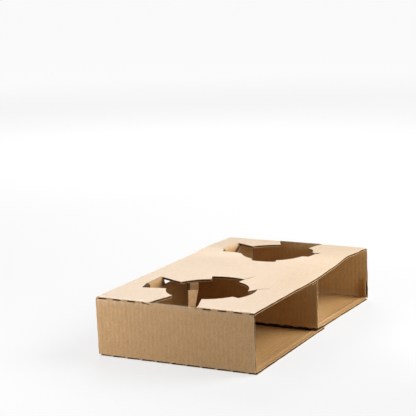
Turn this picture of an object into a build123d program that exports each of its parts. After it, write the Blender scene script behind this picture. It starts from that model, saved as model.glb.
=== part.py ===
from build123d import *
import math
import os

# Two-cup carrier folded from one sheet of corrugated board, in millimetres.
# X runs along the length, Y across the width, Z up. The origin is at the middle of the base.

# Driving sizes of the folded carrier
length = 210.0          # outside of one end wall to outside of the other
width = 115.0           # from one open side to the other
height = 41.0           # table to the upper face of the top panel
board = 1.6             # thickness of the corrugated board
liner = 0.3             # thickness of each of the board's two flat liners
lean = 1.7              # how far the top panel has slid towards the near end

# Folds
fold_outside = 2.2      # outer radius of a fold
fold_inside = 0.6       # inner radius of a fold
wedge_gap = 0.35        # height at which a fold's round meets the sheet beside it
flat_margin = 4.0       # straight stretch of the top panel beside each end fold
floor_margin = 1.0      # flat stretch of the floor between an end fold and the far floor's slope

# Divider and its glued flaps
divider_x = 1.5         # middle plane of the divider
glue_flap = 9.0         # flap turned towards the near end under the top panel
floor_overlap = 16.0    # how far the near floor runs on under the far floor

# Wave of the top panel along the half lengths: it sags at the divider and swells over the far cup hole
wave_points = ((-1.0, 0.0), (-0.52, -0.1), (0.0, -0.4), (0.28, 0.1), (0.58, 1.7), (0.86, 0.6), (1.0, 0.0))

# Cup holes: the petal circle, and the wider circles of the notches to the divider and to the open side
near_from_end = 47.2    # centre of the near hole from the upper edge of its end wall
near_hole_y = -1.9      # centre of the near hole across the width
near_petals = 28.2
near_to_divider = 36.6
near_to_open = 33.7
near_end_y = 0.2        # middle of the near end notch at its fold
far_from_end = 42.3
far_hole_y = -0.8
far_petals = 27.2
far_to_divider = 31.3
far_to_open = 31.5
far_end_y = -3.1
end_notch_half = 17.4   # half width of an end notch where it runs out at the fold

# Grip notch, which ends at the fold of the grip flap
grip_shift = 10.2       # middle of the fold from the hole's centre, towards the far end
grip_half = 10.7        # half width of the notch at its fold
grip_flare = 12.0       # how far the notch widens towards the near end
grip_flare_back = 3.0   # how far that corner stands back from the fold

# Round each hole, counterclockwise from the length: a circle followed between two angles, or a notch at a fold
near_stretches = (
    ("petal", 20.5, 66.8), ("grip",), ("petal", 108.0, 150.0), ("end",), ("petal", 198.5, 242.3),
    ("open", 243.0, 289.2), ("petal", 279.3, 336.3), ("divider", 340.8, 381.0))
far_stretches = (
    ("petal", 17.5, 67.0), ("grip",), ("petal", 120.7, 160.5), ("divider", 166.0, 201.3), ("petal", 202.2, 247.0),
    ("open", 250.0, 269.0), ("petal", 278.6, 320.3), ("end",))

# Slits that run on into the panel from a hole's edge; the turns give their angle round the hole and their direction
slit_root = 1.0         # how far inside the hole's edge a slit starts
narrow_slit = 0.5       # width of the slits that only part the sheet
torn_slit = 1.0         # width of the far hole's slit to the open side
near_divider_slit = 12.0
near_open_slit = 11.0
far_divider_slit = 5.5
far_open_slit = 5.2
near_divider_slit_turns = (-19.2, -19.0)
near_open_slit_turns = (-70.8, -53.0)
far_divider_slit_turns = (160.0, 160.0)
far_open_slit_turns = (-91.0, -38.0)

# Flaps hanging from the top panel
grip_drop = 11.0        # how far a grip flap hangs below the top panel
grip_width = 20.8
grip_play = 0.5         # gap between a grip flap and the back wall that it holds
tongue_width = 6.2      # narrow tongue hanging in the near cup hole
tongue_upper = 7.0      # its upright part
tongue_lower = 17.0     # its lower part, bent away from the petal
tongue_slope = 24.0     # degrees between the lower part and the upright
tongue_place = 46.5     # where the tongue hangs, as an angle round the hole
tongue_turn = 25.0      # direction that the tongue's back faces
tongue_sink = 0.05      # how far its root lies under the panel's face

# Back walls, folded up from a hem that lies on the floor's back margin
back_wall_height = 36.0
near_wall_y = 41.2      # middle plane of the near bay's back wall
far_wall_y = 38.2       # middle plane of the far bay's back wall
wall_play = 0.8         # gap between a back wall's end and the wall beside it
hem_round = 0.96        # outer radius of the hem's fold, in thicknesses of the board

# Perforated fold lines
cut_length = 5.4        # one cut of a perforated fold
cut_pitch = 11.0        # from one cut to the next
cut_width = 0.8
cut_depth = 2.1         # a little more than the folded board
fold_slope = 45.0       # slope of the board at the middle of a fold
first_cut = 4.7         # middle of the first cut from the back side

# Open space between the liners at the two long sides
channel_depth = 1.4

# Places worked out from the sizes above
half_length = length / 2
half_width = width / 2
half_lean = lean / 2
curve_step = 12.0       # spacing of the points that a wavy face runs through
overlap = 1.0           # how far a flap's shape runs into the panel that it hangs from
past = 5.0              # how far a cutting shape runs past the board
under_top = height - board
near_hole_x = near_from_end - half_length - half_lean
far_hole_x = half_length - far_from_end - half_lean


def wall_x(side, z, inset=0.0):
    """X of an end wall's face at height z, for side -1 (near) or 1 (far), inset from the outside."""
    return side * (half_length - inset) + half_lean - lean * z / height


def wave(fraction):
    """Height of the top panel over its flat level at a fraction of the half length."""
    for (start, low), (end, high) in zip(wave_points, wave_points[1:]):
        if start <= fraction <= end:
            t = (fraction - start) / (end - start)
            return low + (high - low) * t * t * (3 - 2 * t)
    return 0.0


def top_level(x, inset=0.0):
    """Height of the top panel's upper face, or of a face inset below it."""
    return height - inset + wave((x + half_lean) / half_length)


def top_curve(x_from, x_to, inset=0.0):
    """The top panel's face between two places along the length, as a smooth curve."""
    steps = max(4, round(abs(x_to - x_from) / curve_step))
    xs = [x_from + (x_to - x_from) * i / steps for i in range(steps + 1)]
    return Spline(*[(x, top_level(x, inset)) for x in xs])


def rounded_path(points, radii):
    """Edges of a line through the points with rounded corners; the two ends stay as given."""
    edges = []
    last = Vector(*points[0])
    for i in range(1, len(points) - 1):
        corner = Vector(*points[i])
        before = (Vector(*points[i - 1]) - corner).normalized()
        after = (Vector(*points[i + 1]) - corner).normalized()
        half_angle = math.acos(before.dot(after)) / 2
        start = corner + before * (radii[i - 1] / math.tan(half_angle))
        end = corner + after * (radii[i - 1] / math.tan(half_angle))
        bulge = radii[i - 1] / math.sin(half_angle) - radii[i - 1]
        edges.append(Line(last, start))
        if radii[i - 1] > 0:
            edges.append(ThreePointArc(start, corner + (before + after).normalized() * bulge, end))
        last = end
    edges.append(Line(last, Vector(*points[-1])))
    return edges


def outside_section(skin=0.0):
    """Outline of the whole sleeve seen from the open side, or of a face one skin below it."""
    x_left = wall_x(-1, height) + fold_outside + flat_margin
    x_right = wall_x(1, height) - fold_outside - flat_margin
    corners = [
        (x_right, top_level(x_right, skin)),
        (wall_x(1, height, skin), height - skin),
        (wall_x(1, 0, skin), skin),
        (wall_x(1, 0) - fold_outside - floor_margin, skin),
        (floor_overlap, board + skin),
        (floor_overlap, skin),
        (wall_x(-1, 0, skin), skin),
        (wall_x(-1, height, skin), height - skin),
        (x_left, top_level(x_left, skin)),
    ]
    turn = fold_outside - skin
    return make_face(rounded_path(corners, [turn, turn, 0, 0, 0, turn, turn]) + [top_curve(x_left, x_right, skin)])


def fold_round(centre, radius, level, side_x, side_z):
    """Outside of a fold between an upright face and a flat one; it ends just clear of the flat sheet beside it."""
    reach = math.acos((radius - wedge_gap) / radius)
    middle = (math.pi / 2 + reach) / 2
    points = [centre - Vector(side_x * math.sin(a), side_z * math.cos(a)) * radius for a in (math.pi / 2, middle, reach)]
    return [ThreePointArc(*points), Line(points[2], Vector(points[2].X, level))]


def near_bay(skin=0.0):
    """Space between the near end wall and the divider, or the same grown by a skin."""
    depth = board - skin
    face = divider_x - board / 2 + skin
    flap_end = divider_x - board / 2 - glue_flap
    flap_under = top_level(flap_end, board + depth)
    x_left = wall_x(-1, under_top, board) + fold_inside + flat_margin
    turn = fold_inside + skin
    centre = Vector(divider_x + board / 2 + fold_inside, 2 * board + fold_inside)
    fold = fold_round(centre, fold_inside + depth, depth, 1, 1)
    wedge_x = (fold[-1] @ 1).X
    upper = rounded_path(
        [(flap_end, top_level(flap_end, depth)), (flap_end, flap_under), (face, flap_under), (face, centre.Y)],
        [0, turn],
    )
    lower = rounded_path(
        [(wedge_x, depth), (wall_x(-1, board, depth), depth), (wall_x(-1, under_top, depth), height - depth),
         (x_left, top_level(x_left, depth))],
        [turn, turn],
    )
    return make_face(upper + fold + lower + [top_curve(x_left, flap_end, depth)])


def far_bay(skin=0.0):
    """Space between the divider and the far end wall, or the same grown by a skin."""
    depth = board - skin
    face = divider_x + board / 2 - skin
    x_right = wall_x(1, under_top, board) - fold_inside - flat_margin
    turn = fold_inside + skin
    centre = Vector(divider_x - board / 2 - fold_inside, top_level(divider_x, 2 * board + fold_inside))
    reach = math.acos((fold_inside + depth - wedge_gap) / (fold_inside + depth))
    wedge_x = centre.X + (fold_inside + depth) * math.sin(reach)
    fold = fold_round(centre, fold_inside + depth, top_level(wedge_x, depth), -1, -1)
    side = rounded_path(
        [(face, centre.Y), (face, board + depth), (floor_overlap, board + depth), (wall_x(1, board, depth), depth),
         (wall_x(1, under_top, depth), height - depth), (x_right, top_level(x_right, depth))],
        [turn, 0, turn, turn],
    )
    return make_face(fold + side + [top_curve(wedge_x, x_right, depth)])


def across(section, reach=half_width):
    """Solid that carries a section from one open side to the other."""
    return extrude(Plane.XZ * section, amount=reach, both=True)


def sleeve():
    """The folded sleeve: floor, end walls, top panel, divider and its glued flaps."""
    return across(outside_section()) - across(near_bay(), half_width + past) - across(far_bay(), half_width + past)


def edge_channels():
    """Open space between the two liners, seen along both long sides."""
    between = outside_section(liner) - near_bay(liner) - far_bay(liner)
    flap_middle = divider_x - board / 2 - glue_flap / 2
    between -= Pos(flap_middle, top_level(flap_middle, board)) * Rectangle(glue_flap + 2 * board, 2 * liner)
    between -= Pos(floor_overlap / 2, board) * Rectangle(floor_overlap + 2 * liner, 2 * liner)
    channels = across(between, half_width + past)
    inner_block = Box(2 * length, width - 2 * channel_depth, 4 * height)
    return channels - inner_block


def on_circle(radius, angle):
    """Point on a circle round a cup hole's centre."""
    return radius * math.cos(math.radians(angle)), radius * math.sin(math.radians(angle))


def arc_round(radius, start, end):
    """Arc round a cup hole's centre between two angles."""
    return ThreePointArc(*[on_circle(radius, a) for a in (start, (start + end) / 2, end)])


def slit(reach, slit_length, slit_width, turns):
    """Thin cut that starts inside a hole's edge and runs on into the panel."""
    angle, direction = turns
    x, y = on_circle(reach - slit_root, angle)
    return Pos(x, y) * Rot(Z=direction) * Pos(slit_length / 2, 0) * Rectangle(slit_length, slit_width)


def cup_hole(stretches, reaches, end_corners, grip_y):
    """Plan of a cup hole: arcs round its centre, the end notch and the grip notch."""
    left = grip_shift - grip_half
    grip_corners = ((grip_shift + grip_half, grip_y), (left, grip_y), (left - grip_flare, grip_y - grip_flare_back))
    corners = {"grip": grip_corners, "end": end_corners}
    edges = []
    for kind, *angles in stretches:
        if angles:
            run = [arc_round(reaches[kind], *angles)]
        else:
            run = [Line(a, b) for a, b in zip(corners[kind], corners[kind][1:])]
        if edges:
            edges.append(Line(edges[-1] @ 1, run[0] @ 0))
        edges += run
    edges.append(Line(edges[-1] @ 1, edges[0] @ 0))
    return make_face(edges)


def grip_hinge(wall_y):
    """Place across the width where the top panel starts to turn down into the grip flap."""
    return wall_y + board / 2 + grip_play + fold_outside


def hole_cutter(x, y, plan):
    """Solid that takes a cup hole's plan out of the top panel only."""
    return Pos(x, y, under_top - 2 * board) * extrude(plan, amount=4 * board + past)


def grip_flap(x, wall_y):
    """Flap bent down from the top panel behind a back wall; it follows the panel's wave."""
    levels = [top_level(x + grip_shift + step * grip_width / 2) for step in (-1, 0, 1)]
    highest = max(levels)
    under = min(levels) - board
    tip = under - grip_drop + board
    start = grip_hinge(wall_y)
    face = start - fold_outside
    front = rounded_path([(start + overlap, highest), (face, highest), (face, tip)], [fold_outside])
    back = rounded_path(
        [(face, tip), (face + board, tip), (face + board, under), (start + overlap, under), (start + overlap, highest)],
        [0, fold_inside, 0],
    )
    section = Plane.YZ * make_face(front + back)
    return Pos(x + grip_shift, 0, 0) * extrude(section, amount=grip_width / 2, both=True) & across(outside_section())


def hanging_tongue():
    """Narrow tongue bent down from a petal's edge in the near cup hole, with its lower part bent inwards."""
    tilt = math.radians(tongue_slope)
    across_board = board / 2
    bend = Vector(-across_board, -tongue_upper)
    tip = bend + Vector(-math.sin(tilt), -math.cos(tilt)) * tongue_lower
    normal = Vector(math.cos(tilt), -math.sin(tilt)) * board
    inner = Vector(-across_board + board, -tongue_upper - board * math.tan(tilt / 2))
    side = make_face(Polyline(
        (-across_board, 0), (board + across_board, 0), (board + across_board, -board), (across_board, -board),
        inner, tip + normal, tip, bend, close=True))
    solid = extrude(Plane.XZ * side, amount=tongue_width / 2, both=True)
    x, y = on_circle(near_petals, tongue_place)
    place_x = near_hole_x + x
    return Pos(place_x, near_hole_y + y, top_level(place_x) - tongue_sink) * Rot(Z=tongue_turn) * solid


def back_wall(x_from, x_to, wall_y):
    """Strip of the sheet folded in over the floor's back margin and then up, from the floor's underside on."""
    edge_round = hem_round * board
    front = wall_y - board / 2
    back = wall_y + board / 2
    edges = rounded_path(
        [(front, 0), (half_width, 0), (half_width, 2 * board), (back, 2 * board), (back, back_wall_height),
         (front, back_wall_height), (front, 0)],
        [edge_round, edge_round, fold_inside, 0, 0],
    )
    section = Plane.YZ * make_face(edges)
    return Pos(x_from, 0, 0) * extrude(section, amount=x_to - x_from)


def with_back_wall(body, x_from, x_to, wall_y, place=Location()):
    """The body with its floor's back edge folded into a back wall between two places along the length."""
    margin = Pos((x_from + x_to) / 2, half_width, 0) * Box(x_to - x_from, 2 * board, 2 * board)
    return body - place * margin + place * back_wall(x_from, x_to, wall_y)


def fold_cuts(x, z, side_x, side_z, skip_half=0.0):
    """Row of cuts, square to the fold's slope, through a fold whose outer corner lies at x, z.

    A fold that an end notch reaches has none within skip_half of the middle.
    """
    middle = fold_outside - (fold_outside + fold_inside) / 2 * math.sqrt(0.5)
    cuts = []
    y = half_width - first_cut
    while y > -half_width:
        if abs(y) > skip_half:
            place = Pos(x - side_x * middle, y, z - side_z * middle)
            cuts.append(place * Rot(Y=fold_slope * side_x * side_z) * Box(cut_width, cut_length, cut_depth))
        y -= cut_pitch
    return cuts


def all_fold_cuts():
    """Cuts of the four outer folds and of the fold at the divider's foot."""
    corner = fold_outside - fold_inside
    cuts = fold_cuts(wall_x(-1, height), height, -1, 1, end_notch_half)
    cuts += fold_cuts(wall_x(1, height), height, 1, 1, end_notch_half)
    cuts += fold_cuts(wall_x(-1, 0), 0, -1, -1)
    cuts += fold_cuts(wall_x(1, 0), 0, 1, -1)
    cuts += fold_cuts(divider_x + board / 2 - corner, 2 * board - corner, -1, -1)
    return cuts


def near_hole():
    """Plan of the near cup hole, whose end notch points to the near end."""
    reaches = {"petal": near_petals, "open": near_to_open, "divider": near_to_divider}
    reach = board - near_from_end
    middle = near_end_y - near_hole_y
    end_corners = ((reach, middle + end_notch_half), (reach, middle - end_notch_half))
    plan = cup_hole(near_stretches, reaches, end_corners, grip_hinge(near_wall_y) - near_hole_y)
    plan += slit(near_to_divider, near_divider_slit, narrow_slit, near_divider_slit_turns)
    return plan + slit(near_to_open, near_open_slit, narrow_slit, near_open_slit_turns)


def far_hole():
    """Plan of the far cup hole, whose end notch points to the far end."""
    reaches = {"petal": far_petals, "open": far_to_open, "divider": far_to_divider}
    reach = far_from_end - board
    middle = far_end_y - far_hole_y
    end_corners = ((reach, middle - end_notch_half), (reach, middle + end_notch_half))
    plan = cup_hole(far_stretches, reaches, end_corners, grip_hinge(far_wall_y) - far_hole_y)
    plan += slit(far_petals, far_divider_slit, narrow_slit, far_divider_slit_turns)
    return plan + slit(far_to_open, far_open_slit, torn_slit, far_open_slit_turns)


def carrier():
    """The whole carrier as one solid."""
    body = sleeve() - edge_channels()
    body -= hole_cutter(near_hole_x, near_hole_y, near_hole())
    body -= hole_cutter(far_hole_x, far_hole_y, far_hole())
    body += grip_flap(near_hole_x, near_wall_y)
    body += grip_flap(far_hole_x, far_wall_y)
    body += hanging_tongue()
    body = with_back_wall(
        body, wall_x(-1, 0, board) + wall_play, divider_x - board / 2 - wall_play, near_wall_y)
    floor_run = wall_x(1, 0) - fold_outside - floor_margin - floor_overlap
    fall = math.degrees(math.atan2(board, floor_run))
    far_place = Pos(floor_overlap, 0, board) * Rot(Y=fall)
    body = with_back_wall(
        body, divider_x + board / 2 + wall_play - floor_overlap,
        wall_x(1, back_wall_height, board) - wall_play - floor_overlap, far_wall_y, far_place)
    for cut in all_fold_cuts():
        body -= cut
    return body


os.makedirs("parts", exist_ok=True)
export_step(carrier(), "parts/carrier.step")
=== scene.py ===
import math

import bmesh
import bpy
import numpy as np
from bpy.props import FloatProperty, FloatVectorProperty, IntProperty, PointerProperty
from bpy.types import Operator, Panel, PropertyGroup
from mathutils import Matrix, Vector, noise
from mathutils.geometry import delaunay_2d_cdt


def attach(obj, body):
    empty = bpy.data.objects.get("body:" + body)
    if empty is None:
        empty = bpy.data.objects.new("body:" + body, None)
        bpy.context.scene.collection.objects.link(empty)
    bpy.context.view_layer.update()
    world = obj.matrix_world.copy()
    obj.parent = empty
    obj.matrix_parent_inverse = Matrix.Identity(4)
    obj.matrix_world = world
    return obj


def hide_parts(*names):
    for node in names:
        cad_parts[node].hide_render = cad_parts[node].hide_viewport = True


bl_info = {
    "name": "Cardboard cup carrier",
    "version": (1, 0, 0),
    "blender": (4, 5, 0),
    "location": "View3D > Sidebar > Carrier",
    "description": "Two-cup carrier folded from one sheet of corrugated board",
    "category": "Add Mesh",
}

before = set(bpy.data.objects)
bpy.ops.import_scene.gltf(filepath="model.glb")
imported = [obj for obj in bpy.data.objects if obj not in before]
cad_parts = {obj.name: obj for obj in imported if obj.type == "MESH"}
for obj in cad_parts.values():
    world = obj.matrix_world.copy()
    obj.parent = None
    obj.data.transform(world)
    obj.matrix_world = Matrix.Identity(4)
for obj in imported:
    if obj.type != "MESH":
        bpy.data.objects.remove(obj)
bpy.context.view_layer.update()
MM = 0.001

# Wave of the top panel: place along the half lengths and height in mm, as in the solid
WAVE = ((-1.0, 0.0), (-0.52, -0.1), (0.0, -0.4), (0.28, 0.1), (0.58, 1.7), (0.86, 0.6), (1.0, 0.0))

# Both cup holes in mm: centre from the end wall's upper edge and across the width, radii of the petal
# circle and of the notches to the divider and to the open side, middle of the end notch, middle plane
# of the back wall
NEAR_HOLE = {
    "from_end": 47.2, "y": -1.9, "petal": 28.2, "divider": 36.6, "open": 33.7, "end_y": 0.2, "wall_y": 41.2}
FAR_HOLE = {
    "from_end": 42.3, "y": -0.8, "petal": 27.2, "divider": 31.3, "open": 31.5, "end_y": -3.1, "wall_y": 38.2}

# Round each hole, counterclockwise from the length: a circle followed between two angles, or a notch
NEAR_STRETCHES = (
    ("petal", 20.5, 66.8), ("grip",), ("petal", 108.0, 150.0), ("end",), ("petal", 198.5, 242.3),
    ("open", 243.0, 289.2), ("petal", 279.3, 336.3), ("divider", 340.8, 381.0))
FAR_STRETCHES = (
    ("petal", 17.5, 67.0), ("grip",), ("petal", 120.7, 160.5), ("divider", 166.0, 201.3),
    ("petal", 202.2, 247.0), ("open", 250.0, 269.0), ("petal", 278.6, 320.3), ("end",))

# Slits from a hole's edge into the panel: radius and angle of the start, length and half width in mm,
# direction
NEAR_SLITS = ((35.6, -19.2, 12.0, 0.60, -19.0), (32.7, -70.8, 11.0, 0.50, -53.0))
FAR_SLITS = ((26.2, 160.0, 5.5, 0.35, 160.0), (30.5, -91.0, 5.6, 1.4, -38.0))

# Layers of the board, counted from the outside
OUTER, MEDIUM, INNER = 0, 1, 2

# Folds of the sleeve, counted along the sheet
NEAR_FOOT, NEAR_TOP, FAR_TOP, FAR_FOOT, DIVIDER_FOOT = range(5)

# Fold cuts in units of half a cut, how much wider and longer they stand open at two folds, and the
# first one's distance from the board's edge
CUT_SHAPE = ((-1, -0.8), (-0.5, -1), (0.5, -1), (1, -0.8), (1, 0.8), (0.5, 1), (-0.5, 1), (-1, 0.8))
CUT_OPENED = {NEAR_FOOT: (2.1, 1.64), DIVIDER_FOOT: (1.5, 1.3)}
FIRST_CUT = 4.7 * MM

# Crease along both floors, from their cut edge on the open side, and its half width and height
CREASE = 4.2 * MM
CREASE_HALF = 0.9 * MM
CREASE_RISE = 0.6 * MM

# Length over which the fold's round comes back beside an end notch
NOTCH_BLEND = 0.7 * MM

# The flutes run a little askew: shift across the sheet for each length along it
FLUTE_SKEW = 0.004

# Points of a small flat part closer to its outline than this are left out
CLEAR = 0.2 * MM

# Seeds of the soft noise on cut edges, broad and fine, on the sleeve's panels and on the side strips
EDGE_SEED, FINE_EDGE_SEED, PANEL_SEED, STRIP_SEED = range(1, 5)

# Finish of each paper: strength of the flute lines and of the pale wear, roughness, relief of the
# flutes, sheen and gloss
FINISHES = {
    "outside": {"lines": 0.42, "worn": 0.7, "roughness": 0.40, "relief": 0.02, "sheen": 0.75, "gloss": 0.5},
    "inside": {"lines": 0.36, "worn": 0.7, "roughness": 0.65, "relief": 0.03, "sheen": 0.0, "gloss": 0.2},
    # The fluted paper's near-black colour is painted shade for the gaps between the flutes
    "fluted": {"lines": 0.0, "worn": 0.1, "roughness": 0.75, "relief": 0.0, "sheen": 0.0, "gloss": 0.1},
}

# Kraft paper's dark formation, in parts of its colour, and its tint at a flat angle
DARKER = (0.80, 0.73, 0.64)
SHEEN_TINT = (1.0, 0.94, 0.76, 1.0)

# Soft lights: name, place, target, size in metres and power in watts
LIGHTS = (
    ("back_key", (0.90, 0.55, 0.75), (0.0, 0.0, 0.0), 0.5, 5.5),
    ("side_key", (0.46, -0.80, 0.70), (0.06, -0.02, 0.0), 0.8, 13.2),
    ("end_fill", (-0.30, 0.28, 0.05), (-0.105, 0.04, 0.02), 0.08, 0.72),
    ("bay_fill", (0.03, -0.22, 0.075), (0.10, -0.02, 0.01), 0.08, 0.18),
    ("high_front", (-0.7, 0.1, 0.6), (-0.05, 0.0, 0.02), 0.3, 0.24),
)

# Camera fitted to the photograph: place, turn, downward tilt and roll in degrees, lens and sensor in mm
CAMERA_PLACE = (-0.8376, -0.3928, 0.2558)
CAMERA_ANGLES = (26.547, 10.366, -1.242)
CAMERA_LENS = 115.09
CAMERA_SENSOR = 36


def length_property(name, text, millimetres):
    """A length that is shown in the scene's unit."""
    return FloatProperty(name=name, description=text, default=millimetres * MM, min=0.0, unit="LENGTH")


def colour_property(name, text, value):
    """A colour without alpha."""
    return FloatVectorProperty(
        name=name, description=text, default=value, size=3, min=0.0, max=1.0, subtype="COLOR")


class CarrierSizes(PropertyGroup):
    """Sizes of the folded carrier."""

    length: length_property("Length", "Outside of one end wall to outside of the other", 210)
    width: length_property("Width", "One open side to the other", 115)
    height: length_property("Height", "Table to the upper face of the top panel", 41)
    board: length_property("Board", "Thickness of the corrugated board", 1.6)
    liner: length_property("Liner", "Thickness of each flat liner", 0.3)
    medium: length_property("Medium", "Thickness of the fluted paper", 0.16)
    flute_pitch: length_property("Flute pitch", "From one flute to the next", 3.2)
    lean: length_property("Lean", "How far the top has slid towards the near end", 1.7)
    fold_turn: length_property("Fold", "Radius of a fold in the middle of the board", 1.4)
    divider_x: length_property("Divider", "Place of the divider along the length", 1.5)
    glue_flap: length_property("Glue flap", "Flap under the top panel", 9)
    floor_overlap: length_property("Overlap", "Near floor running on under the far floor", 16)
    end_notch_half: length_property("End notch", "Half width at the fold", 17.4)
    grip_half: length_property("Grip notch", "Half width at its fold", 10.7)
    grip_shift: length_property("Grip shift", "Fold of the grip notch from the hole's centre", 10.2)
    grip_flare: length_property("Grip flare", "How far the grip notch widens towards the near end", 12)
    grip_flare_back: length_property("Flare back", "How far that corner stands back from the fold", 3)
    grip_width: length_property("Grip width", "Width of a grip flap", 20.8)
    grip_drop: length_property("Grip drop", "Length of a grip flap below the panel", 11)
    grip_reach: length_property("Grip reach", "How much further a grip flap runs to the near end", 5.5)
    near_grip_lean: length_property("Near grip lean", "How far its tip leans towards the hole", 2.2)
    wall_height: length_property("Back wall", "Height of the back walls", 36)
    near_wall_rise: length_property("Near wall rise", "How much higher it stands left of its grip", 3)
    far_wall_rise: length_property("Far wall rise", "How much higher it stands right of its grip", 3.2)
    foot_gap: length_property("Foot gap", "How far the divider's foot stands off the near floor", 0.9)
    slack: length_property("Slack", "How far the soft panels stray from flat", 0.22)
    curl: length_property("Curl", "How far the inner liner has come off the far wall's open edge", 3.6)
    tongue_width: length_property("Tongue", "Width of the hanging tongue", 6.2)
    tongue_upper: length_property("Tongue top", "Upright part of the hanging tongue", 7)
    tongue_lower: length_property("Tongue end", "Bent part of the hanging tongue", 17)
    cut_length: length_property("Cut", "Length of one cut of a perforated fold", 6.2)
    cut_pitch: length_property("Cut pitch", "From one cut to the next", 11)
    cut_width: length_property("Cut width", "Opening of one cut", 0.75)
    edge_recess: length_property("Edge recess", "Fluted paper's set-back from the long cut edges", 1.3)
    mesh_step: length_property("Mesh step", "Spacing of the points on a flat sheet", 3)
    flute_points: IntProperty(name="Flute points", description="Points across one flute", default=6, min=4)


class CarrierColours(PropertyGroup):
    """Colours of the paper and of the studio floor."""

    outside: colour_property("Outside", "Outer liner", (0.68, 0.41, 0.185))
    # The inner liner's own colour, set darker than the outer one so that it also stands for the shade inside
    # the bays: partly painted shade
    inside: colour_property("Inside", "Inner liner", (0.51, 0.305, 0.12))
    # Near black: painted shade that stands for the dark gaps between the flutes at the cut edges
    fluted: colour_property("Fluted paper", "Paper between the liners", (0.075, 0.038, 0.016))
    fibre: colour_property("Fibre", "Torn edges and bare fibre", (0.80, 0.58, 0.36))
    speck: colour_property("Speck", "Dark specks in the paper", (0.30, 0.17, 0.08))
    floor: colour_property("Floor", "Studio floor", (0.50, 0.50, 0.50))


# Shape of the folded sheet


def wall_x(s, side, z, inset=0.0):
    """X of an end wall's face at height z, for side -1 (near) or 1 (far), inset from the outside."""
    return side * (s.length / 2 - inset) + s.lean / 2 - s.lean * z / s.height


def wave(s, x):
    """Height and slope of the top panel over its flat level at x, for an array of x."""
    part = np.clip((np.asarray(x) + s.lean / 2) / (s.length / 2), -1, 1)
    level = np.zeros_like(part)
    slope = np.zeros_like(part)
    for (start, low), (end, high) in zip(WAVE, WAVE[1:]):
        here = (part >= start) & (part <= end)
        t = (part[here] - start) / (end - start)
        level[here] = (low + (high - low) * t * t * (3 - 2 * t)) * MM
        slope[here] = (high - low) * MM * 6 * t * (1 - t) / ((end - start) * s.length / 2)
    return level, slope


def top_level(s, x):
    """Height of the top panel's upper face at one place along the length."""
    return s.height + float(wave(s, np.array([x]))[0][0])


def rounded_rows(corners, turns):
    """Rows of two coordinates and a heading along a line through the corners, rounded to the turns."""
    arc_steps = 8
    flat_step = 2 * MM
    corners = [np.array(corner) for corner in corners]
    heads = [math.atan2(*(b - a)[::-1]) for a, b in zip(corners, corners[1:])]
    rows = []
    last = corners[0]
    for i, corner in enumerate(corners[1:], 1):
        ends = i == len(corners) - 1
        swing = 0.0 if ends else (heads[i] - heads[i - 1] + math.pi) % (2 * math.pi) - math.pi
        reach = 0.0 if ends else turns[i - 1] * math.tan(abs(swing) / 2)
        along = np.array((math.cos(heads[i - 1]), math.sin(heads[i - 1])))
        stop = corner - along * reach
        pieces = max(1, round(np.linalg.norm(stop - last) / flat_step))
        for t in np.linspace(0, 1, pieces + 1):
            rows.append((*(last + (stop - last) * t), heads[i - 1]))
        if ends:
            break
        heads[i] = heads[i - 1] + swing
        side = math.copysign(1, swing)
        left = np.array((-along[1], along[0])) * side
        centre = stop + left * turns[i - 1]
        for t in np.linspace(0, 1, arc_steps + 1)[1:]:
            angle = heads[i - 1] + swing * t
            out = np.array((math.sin(angle), -math.cos(angle))) * side
            rows.append((*(centre + out * turns[i - 1]), angle))
        last = centre + np.array((math.sin(heads[i]), -math.cos(heads[i]))) * side * turns[i - 1]
    return np.array(rows)


class Path:
    """The board's middle along a strip of the sheet; outside lies left for side 1 and right for -1."""

    def __init__(self, rows, side):
        steps = np.hypot(np.diff(rows[:, 0]), np.diff(rows[:, 1]))
        keep = np.concatenate(([True], steps > 1e-9))
        rows = rows[keep]
        steps = np.hypot(np.diff(rows[:, 0]), np.diff(rows[:, 1]))
        self.a = rows[:, 0]
        self.b = rows[:, 1]
        self.heading = rows[:, 2]
        self.along = np.concatenate(([0.0], np.cumsum(steps)))
        self.side = side

    def at(self, along, outwards):
        """Both coordinates at places along the path, moved outwards from the middle of the board."""
        a = np.interp(along, self.along, self.a)
        b = np.interp(along, self.along, self.b)
        heading = np.interp(along, self.along, self.heading)
        off = outwards * self.side
        return a - np.sin(heading) * off, b + np.cos(heading) * off, heading

    def bends(self):
        """Places along the path where it turns: start and end of each bend."""
        least_turn = 0.03
        turning = np.concatenate(([False], np.abs(np.diff(self.heading)) > least_turn, [False]))
        starts = np.flatnonzero(turning[1:] & ~turning[:-1])
        ends = np.flatnonzero(turning[:-1] & ~turning[1:])
        return [(self.along[a], self.along[b]) for a, b in zip(starts, ends)]

    def rows(self, step):
        """Places for rows of points: all points in the bends, even steps between them."""
        places = [self.along[0], self.along[-1]]
        stops = [self.along[0]]
        for start, end in self.bends():
            places += [a for a in self.along if start - 1e-9 <= a <= end + 1e-9]
            stops += [start, end]
        stops.append(self.along[-1])
        for start, end in zip(stops[::2], stops[1::2]):
            pieces = max(1, round((end - start) / step))
            places += list(np.linspace(start, end, pieces + 1))
        least_step = 0.05 * MM
        places = np.unique(np.round(places, 7))
        return places[np.concatenate(([True], np.diff(places) > least_step))]


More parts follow.
